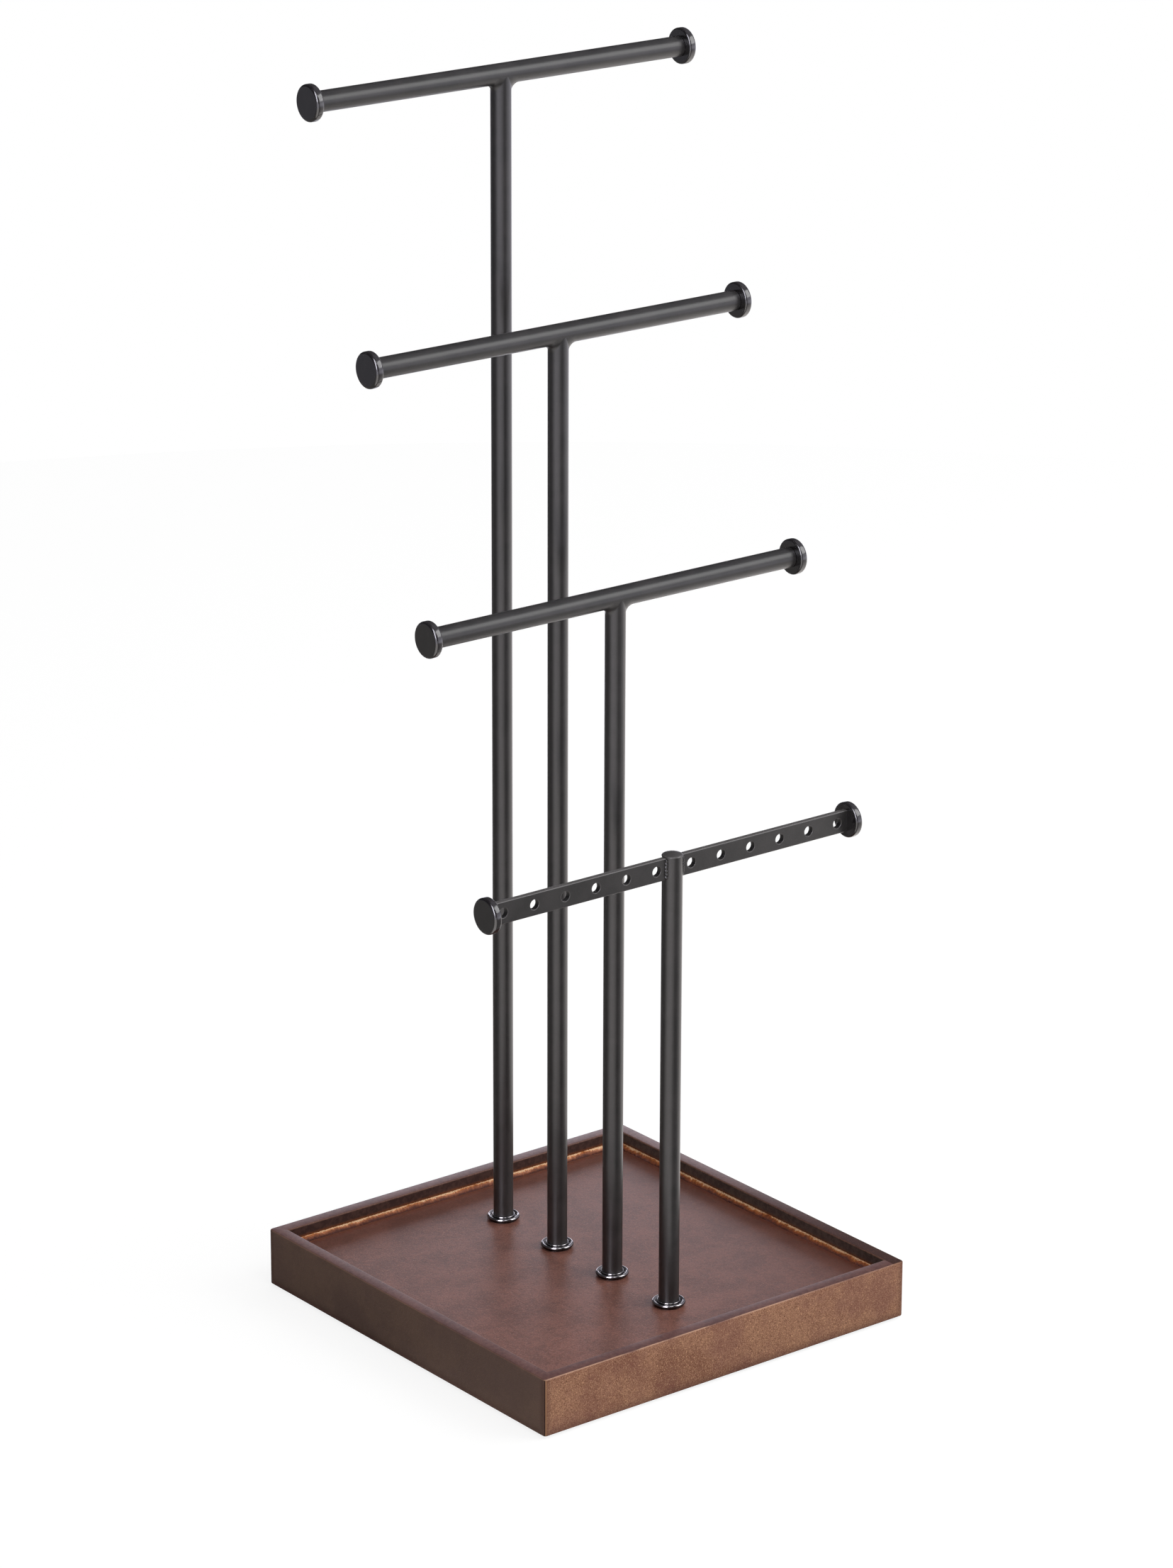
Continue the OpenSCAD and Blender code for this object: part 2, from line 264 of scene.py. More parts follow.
def softbox(name, bearing, rise, distance, across, tall, glow, aim=MIDDLE):
    """Rectangular lamp at a bearing and a rise, turned to the point it aims at.

    A lamp that glows evenly sends out pi * area * glow watts, so its power follows from its size.
    """
    away, side = direction(bearing, rise), direction(bearing + 90, 0)
    data = bpy.data.lights.new(name, "AREA")
    data.shape = "RECTANGLE"
    data.size, data.size_y = across, tall
    data.energy = math.pi * across * tall * glow
    lamp = place(name, data, side, np.cross(away, side), away, aim + distance * away)
    lamp.visible_camera = False
    return lamp


lamps = [
    softbox("key_softbox", -43, 36, 1.5, 0.9, 0.8, 3.6),
    softbox("front_softbox", -98, 55, 1.5, 0.5, 0.5, 3.0),
    softbox("sheen_panel", 54, 11, 0.36, 0.24, 0.14, 1.6, TRAY_MIDDLE),
]
lamps[-1].visible_diffuse = False
lamps[-1].data.color = SHEEN_TINT
print("lamps:", {lamp.name: round(lamp.data.energy, 1) for lamp in lamps})

# %% [markdown]
# Round steel mirrors the room as narrow upright streaks. A lamp for each streak would also light the tray,
# so the world gives glossy rays a glow of their own by direction: white on the right and the left, dark
# flags between, a band in front for the round bars, and a bright strip far left for the caps' edges. Matt
# surfaces get a soft fill from one side instead.

# %% What the metal mirrors
FILL_LOW = 0.08
FILL_HIGH = 0.85
FILL_FROM = direction(-52, 48)
FLAG_GLOW = 0.28
RIGHT_GLOW = 1.4
RIGHT_BEARING = -5
LEFT_GLOW = 1.6
LEFT_BEARING = -142
UPPER_SHARE = 0.22
BAR_BAND = 1.1, -52, (0.93, 0.99), (-0.34, -0.10), (0.42, 0.22)
CAP_STRIP = 11.0, -152, (0.955, 0.985), (0.05, 0.15), (0.95, 0.8)
COOL = (0.975, 0.96, 1.07, 1)
WARM = (1.0, 0.955, 0.93, 1)
NOT_ZERO = 1e-6


def towards(x, y, bearing):
    """Cosine of the angle, on plan, between the direction x, y and a bearing from +X."""
    ahead_x, ahead_y, _ = direction(bearing, 0)
    return (x * ahead_x + y * ahead_y) / ((x * x + y * y) ** 0.5 + NOT_ZERO)


def mirrored_glow(x, y):
    """Glow of the low part of the studio that lies in the direction x, y."""
    right = towards(x, y, RIGHT_BEARING).step(0.52, 1.0)
    left = towards(x, y, LEFT_BEARING).step(0.62, 0.97)
    return FLAG_GLOW + RIGHT_GLOW * right + LEFT_GLOW * left


def window(x, y, z, glow, bearing, sides, foot, head):
    """Bright patch at a bearing, with the steps that fade it sideways, at its foot and at its head."""
    return glow * towards(x, y, bearing).step(*sides) * z.step(*foot) * z.step(*head)


def matt_fill(x, y, z):
    """Soft light for matt surfaces: full around one direction, and low on the far side and below."""
    facing = x * FILL_FROM[0] + y * FILL_FROM[1] + z * FILL_FROM[2]
    return FILL_LOW + FILL_HIGH * facing.step(0.1, 0.9) * z.step(-0.15, 0.1)


def ray_is(tree, name):
    """1 for rays of one kind and 0 for all others."""
    return tree.add("ShaderNodeLightPath", out=f"Is {name} Ray")


def make_room():
    """White to the eye, a soft fill from one side for matt surfaces, and streaks for glossy ones."""
    world = bpy.data.worlds.new("room")
    world.use_nodes = True
    world.cycles.sampling_method = "NONE"
    bpy.context.scene.world = world
    tree = Tree(world.node_tree)
    x, y, z = tree.axes(tree.add("ShaderNodeTexCoord", out="Generated"))
    share = 1 - (1 - UPPER_SHARE) * z.step(-0.02, 0.10)
    seen = ray_is(tree, "Camera").larger(ray_is(tree, "Transmission"))
    glossy = ray_is(tree, "Glossy")
    mirrored = share * mirrored_glow(x, y) + window(x, y, z, *BAR_BAND) + window(x, y, z, *CAP_STRIP)
    sockets = world.node_tree.nodes["Background"].inputs
    unseen = glossy * mirrored + (1 - glossy) * matt_fill(x, y, z)
    tree.feed(sockets["Strength"], seen + (1 - seen) * unseen)
    tree.feed(sockets["Color"], tree.blend("ffffff", COOL, glossy * (1 - seen)))


make_room()
print("fill from", FILL_LOW, "to", FILL_LOW + FILL_HIGH, "right", RIGHT_GLOW, "left", LEFT_GLOW)

# %% [markdown]
# ## Surfaces as arrays
#
# Each piece is a grid of points worked out in one go: a turned profile, a section carried along a path, or
# a formula of two parameters. Grids may share their borders: welding closes them into one solid.

# %% Grids and profiles
TURNS = 96
WELD_DISTANCE = 2e-7


def quads(rows, columns, close_rows, close_columns):
    """Corner numbers of a grid's faces, with the last row or column joined to the first if asked."""
    i = np.arange(rows if close_rows else rows - 1)[:, None]
    j = np.arange(columns if close_columns else columns - 1)[None, :]
    i2, j2 = (i + 1) % rows, (j + 1) % columns
    corners = [i * columns + j, i * columns + j2, i2 * columns + j2, i2 * columns + j]
    return np.stack(np.broadcast_arrays(*corners), axis=-1).reshape(-1, 4)


def grid(points, close_rows=False, close_columns=False):
    """A patch: its points in one list, and the faces between them."""
    return points.reshape(-1, 3), quads(*points.shape[:2], close_rows, close_columns)


def moved(patch, offset):
    """The same patch, carried along by an offset."""
    return patch[0] + np.asarray(offset), patch[1]


def arc(centre, radius, start, end, steps):
    """Points of a circle's arc from one angle to another, in degrees."""
    a = np.radians(np.linspace(start, end, steps + 1))
    return np.column_stack([centre[0] + radius * np.cos(a), centre[1] + radius * np.sin(a)])


def fan(loop):
    """Faces from a closed loop of points to its middle."""
    return grid(np.stack([loop, np.broadcast_to(loop.mean(axis=0), loop.shape)]), close_columns=True)


def turned(profile, closed=False, turns=TURNS):
    """Surface of revolution: the point r, z of the profile at the angle a is r cos a, r sin a, z."""
    a = np.linspace(0, 2 * np.pi, turns, endpoint=False)
    r, z = profile[:, :1], profile[:, 1:]
    return grid(np.stack([r * np.cos(a), r * np.sin(a), z + 0 * a], axis=-1), closed, True)


# %% Pieces
def closed_mesh(name, patches, **fields):
    """Joins patches into one object, welds the points that they share and turns its faces outwards.

    A field is one number per point, kept as an attribute that the finish can read.
    """
    starts = np.cumsum([0] + [len(points) for points, _ in patches])
    points = np.concatenate([points for points, _ in patches])
    faces = np.concatenate([faces + start for (_, faces), start in zip(patches, starts)])
    mesh = bpy.data.meshes.new(name)
    mesh.from_pydata(points.tolist(), [], faces.tolist())
    for field, values in fields.items():
        mesh.attributes.new(field, "FLOAT", "POINT").data.foreach_set("value", values.ravel())
    shape = bmesh.new()
    shape.from_mesh(mesh)
    bmesh.ops.remove_doubles(shape, verts=shape.verts, dist=WELD_DISTANCE)
    bmesh.ops.recalc_face_normals(shape, faces=shape.faces)
    open_edges = sum(not edge.is_manifold for edge in shape.edges)
    shape.to_mesh(mesh)
    shape.free()
    mesh.shade_smooth()
    piece = bpy.data.objects.new(name, mesh)
    bpy.context.scene.collection.objects.link(piece)
    print(f"{name}: {len(mesh.polygons)} faces, {open_edges} open edges")
    return piece


def make_piece(name, patches, nodes, slot, finish, crease=35, **fields):
    """A closed piece in the place of its nodes; edges that turn by more than crease degrees stay sharp."""
    piece = closed_mesh(name, patches, **fields)
    piece.data.set_sharp_from_angle(angle=math.radians(crease))
    piece.data.materials.append(finish)
    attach(piece, BODY)
    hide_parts(*nodes)


print(TURNS, "columns round a turned shape")

# %% [markdown]
# ## Finishes
#
# Every finish starts from the Principled shader. Colour, roughness and bump change over the surface, and
# whatever is the same all over is written on the shader's own socket.

# %% The finish class
class Finish(Tree):
    """A material's tree with its Principled shader and the object coordinates at hand, in metres."""

    def __init__(self, name):
        self.material = bpy.data.materials.new(name)
        self.material.use_nodes = True
        super().__init__(self.material.node_tree)
        self.shader = self.nodes.nodes["Principled BSDF"]
        self.place = self.add("ShaderNodeTexCoord", out="Object")

    def set(self, **sockets):
        """Fills the shader's sockets, with underscores for the spaces in their names."""
        for name, value in sockets.items():
            self.feed(self.shader.inputs[name.replace("_", " ")], value)

    def noise(self, size, detail=2.0, roughness=0.5):
        """Cloudy pattern from 0 to 1 whose blobs are about one size across."""
        inputs = {"Vector": self.place, "Scale": 1 / size, "Detail": detail, "Roughness": roughness}
        return self.add("ShaderNodeTexNoise", None, inputs)

    def field(self, name):
        """The number that a piece keeps at its points under this name."""
        return self.add("ShaderNodeAttribute", {"attribute_name": name}, out="Fac")

    def bump(self, *heights):
        """Feeds the normal with bumps, each given as its pattern and its full height in metres."""
        below = {}
        for pattern, height in heights:
            sockets = {"Height": pattern, "Distance": height, "Strength": 1.0, **below}
            below = {"Normal": self.add("ShaderNodeBump", None, sockets)}
        self.set(**below)


# %% [markdown]
# ## Table top
#
# The table top is a pale disc. A little glow for the eye alone lifts its grey to paper white, and the
# stand's soft shadow still shows. For mirrors it is as bright or as dark as the studio behind it.

# %% The table top
TABLE_R = 1.1
TABLE_EDGE = 6 * MM
TABLE_TONE = 0.22
TABLE_BOUNCE = 0.12
TABLE_LIFT = 0.85


def make_table():
    """A thin disc with a rounded rim, top at z = 0."""
    rim = arc((TABLE_R - TABLE_EDGE, -TABLE_EDGE), TABLE_EDGE, 90, -90, 12)
    profile = np.concatenate([[[0, 0]], rim, [[0, -2 * TABLE_EDGE]]])
    table = closed_mesh("table_top", [turned(profile, turns=128)])
    return table


def table_finish():
    """Matt off-white paint, lifted to white for the eye and lit like the studio for glossy rays."""
    paint = Finish("white_table")
    paint.material.cycles.emission_sampling = "NONE"
    x, y, _ = paint.axes(paint.place)
    seen = ray_is(paint, "Camera").larger(ray_is(paint, "Transmission"))
    greys = [(level, level, level, 1) for level in (TABLE_BOUNCE, TABLE_TONE)]
    paint.set(Base_Color=paint.blend(*greys, seen), Roughness=0.7, Specular_IOR_Level=0.0)
    glow = paint.add("ShaderNodeEmission", None, {"Color": WARM, "Strength": mirrored_glow(x, y)})
    lift = paint.add("ShaderNodeEmission", None, {"Color": tone("ffffff"), "Strength": seen * TABLE_LIFT})
    painted = paint.add("ShaderNodeAddShader", None, {0: Signal(paint, paint.shader.outputs[0]), 1: lift})
    mixed = paint.add("ShaderNodeMixShader", None, {0: ray_is(paint, "Glossy"), 1: painted, 2: glow})
    paint.feed(paint.nodes.nodes["Material Output"].inputs["Surface"], mixed)
    return paint.material


table = make_table()
table.data.materials.append(table_finish())
print("table top", round(TABLE_R * 2, 2), "m across")

# %% [markdown]
# The posts and bars are powder coated. Powder melts into a skin with a faint orange peel, which a noise of
# half a millimetre in the bump gives. It is thin on edges, where a field on the mesh pales it; the same
# paleness is a painted highlight along those edges.

# %% Powder coat on the posts and bars
def powder_coat():
    """Dark grey coating: orange peel, fine flecks, faint clouds, and edges paled for thin coat and painted
    highlight.
    """
    coat = Finish("coated_steel")
    clouds = coat.noise(9 * MM, detail=3)
    peel = coat.noise(0.55 * MM, detail=1)
    fleck = coat.noise(0.16 * MM, detail=2).step(0.60, 0.72)
    edge = coat.field("edge")
    dark = coat.blend("2b2a2a", "363434", clouds.step(0.35, 0.65))
    # The field edge pales the coat where it is thin, and also paints the highlight that those edges catch.
    coat.set(Base_Color=coat.layers(dark, ("5d595b", fleck * 0.35), ("8a8686", edge * 0.4)))
    coat.set(Roughness=0.31 + 0.06 * clouds + 0.10 * fleck - 0.10 * edge, IOR=1.55)
    coat.bump((peel, 0.010 * MM), (fleck, 0.004 * MM))
    return coat.material


COAT = powder_coat()
print("made", COAT.name)

# %% [markdown]
# The collars are plated and polished: metal with a low roughness. The caps look alike from afar, but their
# faces stay nearly black, as a dark lacquer does: not a metal, with a high IOR for a thin, sharp glint.

# %% Black nickel on the collars, smoked lacquer on the caps
def black_nickel():
    """Dark polished plating with a soft haze and a few rubbed spots, and painted shade where it rolls under.
    """
    plate = Finish("dark_plating")
    clouds = plate.noise(3.5 * MM, detail=3)
    pits = plate.noise(0.35 * MM, detail=2).step(0.62, 0.75)
    _, _, height = plate.axes(plate.place)
    # Painted shade: the plating darkens below the rim, just above the floor.
    under = height.step(floor_z + 1.5 * MM, floor_z + 0.9 * MM)
    bright = plate.blend("c2bebf", "a5a1a2", clouds.step(0.35, 0.65))
    plate.set(Base_Color=plate.blend(bright, "2a2728", under * 0.9))
    plate.set(Roughness=0.08 + 0.04 * clouds + 0.12 * pits, Metallic=1.0)
    plate.bump((plate.noise(1.2 * MM, detail=1), 0.001 * MM))
    return plate.material


def smoked_lacquer():
    """Near black lacquer over turned steel: a smooth skin with faint clouds and a few fine scuffs."""
    skin = Finish("smoked_lacquer")
    clouds = skin.noise(4 * MM, detail=3)
    scuff = skin.noise(0.22 * MM, detail=2).step(0.62, 0.74)
    dark = skin.blend("262326", "302d2f", clouds.step(0.35, 0.65))
    skin.set(Base_Color=skin.blend(dark, "5d585b", scuff * 0.2))
    skin.set(Roughness=0.13 + 0.05 * clouds + 0.10 * scuff, IOR=1.75)
    skin.bump((scuff, 0.003 * MM))
    return skin.material


NICKEL, SMOKED = black_nickel(), smoked_lacquer()
print("made", NICKEL.name, "and", SMOKED.name)

# %% [markdown]
# The fixings underneath are zinc plated, with the cloudy spangle of the bath, and the pads are dull rubber.

# %% Steel and rubber
def bare_steel():
    """Zinc-plated steel, duller where the spangle is high."""
    steel = Finish("plated_steel")
    spangle = steel.noise(1.4 * MM, detail=4, roughness=0.6)
    steel.set(Base_Color=steel.blend("a9abad", "83868a", spangle.step(0.4, 0.7)))
    steel.set(Roughness=0.28 + 0.16 * spangle, Metallic=1.0)
    steel.bump((spangle, 0.006 * MM))
    return steel.material


def pad_rubber():
    """Dull dark rubber with a fine moulded grain."""
    rubber = Finish("moulded_rubber")
    grain = rubber.noise(0.4 * MM, detail=3)
    rubber.set(Base_Color=rubber.blend("242425", "333334", grain.step(0.35, 0.7)))
    rubber.set(Roughness=0.72 + 0.12 * grain)
    rubber.bump((grain, 0.03 * MM))
    return rubber.material


STEEL, RUBBER = bare_steel(), pad_rubber()
print("made", STEEL.name, "and", RUBBER.name)

# %% [markdown]
# The tray is fibreboard under a brown wash, which lies smooth and satin on floor and rims. On the sawn
# outer faces it sinks in unevenly, and pale fibres show as a sandy grain. These faces are darker near the
# corners and the foot, and a painted sheen greys the left one.

# %% The tray's floor
def board_skin(name, light, dark):
    """Shared start of the board's finishes: two tones mottled together, and the patterns that do it."""
    skin = Finish(name)
    cloud = skin.noise(14 * MM, detail=4, roughness=0.6)
    fine = skin.noise(1.6 * MM, detail=4, roughness=0.65)
    body = skin.blend(dark, light, (0.55 * cloud + 0.45 * fine).step(0.38, 0.62))
    return skin, body, cloud, fine


def floor_finish():
    """The tray's floor: red brown wash under satin lacquer, with glue smeared out along the walls.

    Darker towards the right, with painted shade in bands along the right and back walls.
    """
    skin, body, _, fine = board_skin("washed_floor", "8b5c4f", "6f483d")
    grain = skin.noise(0.5 * MM, detail=2, roughness=0.6)
    x, y, _ = skin.axes(skin.place)
    out = x.size().larger(y.size())
    smear = (out + 3.0 * MM * (fine - 0.5)).step(wall_x - 5.0 * MM, wall_x - 1.8 * MM)
    # Darker towards the right, and painted shade in bands along the right and back walls.
    shade = 0.3 * x.step(-30 * MM, 60 * MM) + 0.3 * x.step(wall_x - 24 * MM, wall_x - 8 * MM)
    skin.set(Base_Color=skin.layers(
        body,
        ("b08676", grain.step(0.54, 0.72) * 0.5),
        ("452a25", grain.step(0.46, 0.30) * 0.5),
        ("54352f", shade.larger(y.step(wall_x - 24 * MM, wall_x - 4 * MM) * 0.5)),
        ("69361f", smear * 0.85),
    ))
    skin.set(Roughness=0.32 + 0.10 * fine + 0.30 * smear, Specular_IOR_Level=0.5)
    skin.bump((fine, 0.05 * MM), (grain, 0.03 * MM))
    return skin.material


FLOOR = floor_finish()
print("made", FLOOR.name)

# %% The rails' three sides
def sawn_faces(skin, body, cloud, grain, arris):
    """Outside: pale fibres and dark pores stand like sand, darker near the foot and the ends, with a painted
    sheen that greys the left face.

    Turn is how much further out a point lies sideways than to the front or back. It draws a rubbed line
    beside a dark one on the arris.
    """
    x, y, height = skin.axes(skin.place)
    corner, turn = x.size().smaller(y.size()), x.size() - y.size()
    sandy = cloud.step(0.34, 0.62)
    # Painted sheen: the left face is greyed, and its grain shows less.
    painted_left_sheen = (0 - x).step(tray_half - 0.7 * MM, tray_half - 0.2 * MM)
    show = (0.52 + 0.28 * sandy) * (1 - 0.6 * painted_left_sheen)
    # Darker near the foot and towards the ends of each face.
    low = (height - rail_low[2] + 1.6 * MM * (cloud - 0.5)).step(3.6 * MM, 0.3 * MM)
    ends = (corner + 2.0 * MM * (cloud - 0.5)).step(tray_half - 3.4 * MM, tray_half - 0.4 * MM)
    pale_line = turn.step(-1.0 * MM, -0.7 * MM) * turn.step(-0.1 * MM, -0.3 * MM)
    dark_line = turn.step(-0.15 * MM, 0.0) * turn.step(0.5 * MM, 0.3 * MM)
    return skin.layers(
        body,
        ("b98660", sandy * 0.3),
        ("7c4c3e", skin.noise(30 * MM, detail=2).step(0.52, 0.36) * 0.4),
        ("f2c096", grain.step(0.53, 0.72) * show),
        ("4f2d24", grain.step(0.46, 0.28) * show),
        ("92827a", painted_left_sheen * 0.6),
        ("6b4a42", low.larger(ends) * 0.5),
        ("dba27a", pale_line * arris * 0.6),
        ("2a1b17", dark_line * arris * 0.8),
    )


def inner_walls(skin, fine, gloomy):
    """Inside: dark stain, greyer on the right wall, with a painted orange reflection of the glue at the foot.
    """
    x, _, height = skin.axes(skin.place)
    # Painted reflection: an orange glow of the glue bead on the wall just above it.
    glow = (height - floor_z - 0.5 * MM * (fine - 0.5)).step(bead_r + 1.3 * MM, bead_r - 0.1 * MM)
    mottle = fine.step(0.4, 0.6)
    back, side = skin.blend("3f2c28", "4d3731", mottle), skin.blend("594b46", "6a5c53", mottle)
    wall = skin.blend(back, side, x.step(wall_x - 0.3 * MM, wall_x + 0.1 * MM))
    return skin.layers(wall, ("2c1f1c", gloomy * 0.6), ("7a4420", glow * 0.8))


def rims(skin, cloud, fine, grain, gloomy):
    """On top: even brown with a fine pale grain, gloomier along the right."""
    brown = skin.blend("5c3a35", "704840", (0.5 * cloud + 0.5 * fine).step(0.38, 0.62))
    return skin.layers(brown, ("33221e", gloomy * 0.8), ("8d6253", grain.step(0.56, 0.72) * 0.4))


print("a rail has sawn faces outside, dark walls inside and a satin rim")

# %% Rails and glue
def rail_finish():
    """The three sides joined by the fields rim and inner, with stain pooled and a pale line along the rims'
    edges.
    """
    skin, body, cloud, fine = board_skin("washed_rails", "b78871", "a0715f")
    rim, inner = skin.field("rim"), skin.field("inner")
    grain = skin.noise(0.36 * MM, detail=2, roughness=0.65)
    x, y, _ = skin.axes(skin.place)
    gloomy = x.step(wall_x - 0.2 * MM, wall_x + 0.4 * MM) * (0 - y).step(-60 * MM, 72 * MM)
    arris = (1 - rim) * (1 - inner) * (0 - x).step(0, 10 * MM)
    front = (0 - y).step(tray_half - 1.0 * MM, tray_half - 0.5 * MM) * x.step(45 * MM, 15 * MM)
    edge = (rim * (1 - rim) * 4).step(0.3, 1.0) * (1 - inner).step(0.6, 0.9)
    # A pale line along the rims' outer edges, most of it on the front rail's left half.
    rubbed = edge * cloud.step(0.36, 0.52) * (0.15 + 0.85 * front)
    pooled = (rim - 0.8).size().step(0.22, 0.06)
    sides = skin.blend(sawn_faces(skin, body, cloud, grain, arris), inner_walls(skin, fine, gloomy), inner)
    skin.set(Base_Color=skin.layers(
        sides,
        (rims(skin, cloud, fine, grain, gloomy), rim),
        ("33201c", pooled * 0.45),
        ("dcae90", rubbed * 0.5),
    ))
    skin.set(Coat_Weight=rim * (0.85 - 0.7 * gloomy) * (0.35 + 0.7 * fine + 0.6 * grain), Coat_Roughness=0.33)
    skin.set(Roughness=0.60 + 0.15 * fine, Specular_IOR_Level=0.12)
    skin.bump((fine, 0.04 * MM), (grain, 0.05 * MM))
    return skin.material


def glue_finish():
    """Stained glue: dark where it thins out on the floor, amber above, with a pale crest along the wall that
    is partly a painted highlight.
    """
    glue = Finish("stained_glue")
    lumps = glue.noise(1.1 * MM, detail=4, roughness=0.6)
    grit = glue.noise(0.45 * MM, detail=2, roughness=0.6)
    patches = glue.noise(5 * MM, detail=2)
    crest = glue.field("crest") + 0.8 * (lumps - 0.5) + 0.8 * (patches - 0.5)
    glue.set(Base_Color=glue.layers(
        tone("4a1f10"),
        ("86431c", crest.step(0.10, 0.45)),
        ("cc7634", crest.step(0.42, 0.72)),
        # Partly painted highlight: the palest tone lies on the crest, where the light falls on the bead.
        ("ffd3a8", crest.step(0.66, 0.84)),
        ("4a230f", grit.step(0.45, 0.32) * 0.7),
    ))
    glue.set(Roughness=0.70 - 0.42 * crest.step(0.3, 0.7) + 0.15 * grit, Specular_IOR_Level=0.7)
    glue.bump((lumps, 0.06 * MM), (grit, 0.04 * MM))
    return glue.material


RAIL, GLUE = rail_finish(), glue_finish()
print("made", RAIL.name, "and", GLUE.name)

# %% [markdown]
# The floor panel and the hidden fixings have their right shape in the model already. Such nodes stay, and
# only the material in their slots changes.

# %% Dress the nodes that keep their own shape
def dress(finish, *names):
    """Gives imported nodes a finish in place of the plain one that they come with."""
    for name in names:
        mesh = frame["nodes"][name].data
        mesh.materials.clear()
        mesh.materials.append(finish)


dress(FLOOR, "floor_panel")
dress(STEEL, "base_screws", "screw_washers", *(f"insert_{tier}" for tier in TIERS))
print("dressed the floor panel and the hidden fixings")

# %% [markdown]
# ## Tray rails
#
# Four lengths of board stand round the floor with mitred ends. The tray's outer corners are rounded across
# the joint, so each rail is a rounded rectangle carried along a path that bends with the corner: the
# deeper a point lies inside the board, the tighter its bend, until it meets the mitre as a plain corner.
# A shallow groove at the very end leaves the hairline of the joint.

# %% Section and path of a rail
ARRIS_R = 0.5 * MM
GROOVE = 0.05 * MM
JOINT_GAP = 0.05 * MM
STRAIGHT_END = 4 * MM


def rail_section(inset):
    """Closed loop of depth and height round a rail: a rounded rectangle, drawn in by the inset."""
    low, high = rail_low[2], rail_high[2]
    deep = tray_half - wall_x
    r = ARRIS_R - inset
    near, far, down, up = ARRIS_R, deep - ARRIS_R, low + ARRIS_R, high - ARRIS_R
    corners = [((near, down), 180), ((far, down), 270), ((far, up), 0), ((near, up), 90)]
    return np.concatenate([arc(corner, r, start, start + 90, 6) for corner, start in corners])


def half_rail():
    """Rows of section loops from near the corner to the mitre, for the front rail's right half.

    Each row has its share of the corner's bend, the distance left to the mitre and its inset.
    """
    bends = np.radians([0, 0, 8, 16, 24, 32, 39, 43, 45.0])
    lefts = [STRAIGHT_END] + [JOINT_GAP] * 7 + [0]
    insets = [0] * 8 + [GROOVE]
    rows = []
    for bend, left, inset in zip(bends, lefts, insets):
        depth, height = rail_section(inset).T
        r = np.clip(corner_r - depth, 0, None)
        straight = np.where(depth < corner_r, tray_half - corner_r, tray_half - depth - left)
        straight = straight - (left == STRAIGHT_END) * left
        x = straight + r * math.sin(bend)
        y = -tray_half + np.maximum(depth, corner_r - r * math.cos(bend))
        rows.append(np.column_stack([x, y, height]))
    return np.array(rows)


def turn_about_z(points, quarter_turns):
    """Points turned about Z: x, y becomes x cos a - y sin a, x sin a + y cos a."""
    a = quarter_turns * math.pi / 2
    c, s = round(math.cos(a)), round(math.sin(a))
    x, y, z = np.moveaxis(points, -1, 0)
    return np.stack([c * x - s * y, s * x + c * y, z], axis=-1)


def make_rails():
    """The front rail and its three copies, each turned another quarter about the tray's middle.

    The fields rim and inner say how much a point of the section faces up and into the tray.
    """
    right = half_rail()
    loops = np.concatenate([right[::-1] * [-1, 1, 1], right])
    patches = [grid(loops, close_columns=True), fan(loops[0]), fan(loops[-1])]
    side_points = loops.shape[1] // 4
    rise = np.linspace(0, 1, side_points)
    hill = np.concatenate([rise, rise[::-1], np.zeros(2 * side_points)])
    fields = {name: np.tile(np.roll(hill, sides * side_points), len(loops) + 4)
              for name, sides in (("rim", 2), ("inner", 1))}
    for quarter, side in enumerate(("front", "right", "back", "left")):
        turned_patches = [(turn_about_z(points, quarter), faces) for points, faces in patches]
        make_piece(f"tray_rail_{side}", turned_patches, [f"rail_{side}"], "stained_rail", RAIL, **fields)


make_rails()

# %% [markdown]
# ## Posts
#
# The posts are steel tube, outside and bore in one closed grid. The three tall ones are cut hollow at the
# top to sit round their bar: round the post at the angle a, the bar's underside is at bar height minus
# sqrt(R * R - (r sin a) squared), and the top points follow that curve.

# %% Tall posts
def make_post(tier, rings):
    """A post from closed rings: outside up and bore down, each with its radius, angles and heights."""
    points = np.array([np.column_stack([r * np.cos(a), r * np.sin(a), z + 0 * a]) for r, a, z in rings])
    patch = moved(grid(points, close_rows=True, close_columns=True), (0, post_y[tier], 0))
    make_piece(f"upright_{tier}", [patch], [f"post_{tier}"], "powder_coat", COAT)


def saddle(r, angles, tier):
    """Height of the bar's underside, with its gap, at a radius and angles round the post."""
    joint_r = tube_r + JOINT_GAP
    return bar_z[tier] - np.sqrt(joint_r ** 2 - (r * np.sin(angles)) ** 2)


for tier in ROUND_TIERS:
    a = np.linspace(0, 2 * np.pi, TURNS, endpoint=False)
    tops = [(r, a, saddle(r, a, tier)) for r in (tube_r, bore_r)]
    make_post(tier, [(tube_r, a, post_foot), *tops, (bore_r, a, post_foot)])

# %% [markdown]
# The round bars are the same tube laid along X. Turning a shape from Z to X only swaps the order of its
# three coordinates.

# %% Round bars
BAR_EASE = 0.15 * MM


def along_x(patch, side=1):
    """A patch built on Z laid along X: z becomes x, x becomes y and y becomes z."""
    return patch[0][:, [2, 0, 1]] * np.array([side, 1, 1]), patch[1]


def make_round_bar(tier):
    """Tube along X from cap to cap, its cut ends lightly eased."""
    inner = bar_end - BAR_EASE
    half = [(tube_r, 0), (tube_r, inner), (tube_r - BAR_EASE, bar_end),
            (bore_r + BAR_EASE, bar_end), (bore_r, inner)]
    profile = np.array(half + [(r, -z) for r, z in half[:0:-1]])
    patch = moved(along_x(turned(profile, closed=True)), (0, post_y[tier], bar_z[tier]))
    make_piece(f"cross_bar_{tier}", [patch], [f"bar_{tier}"], "powder_coat", COAT)


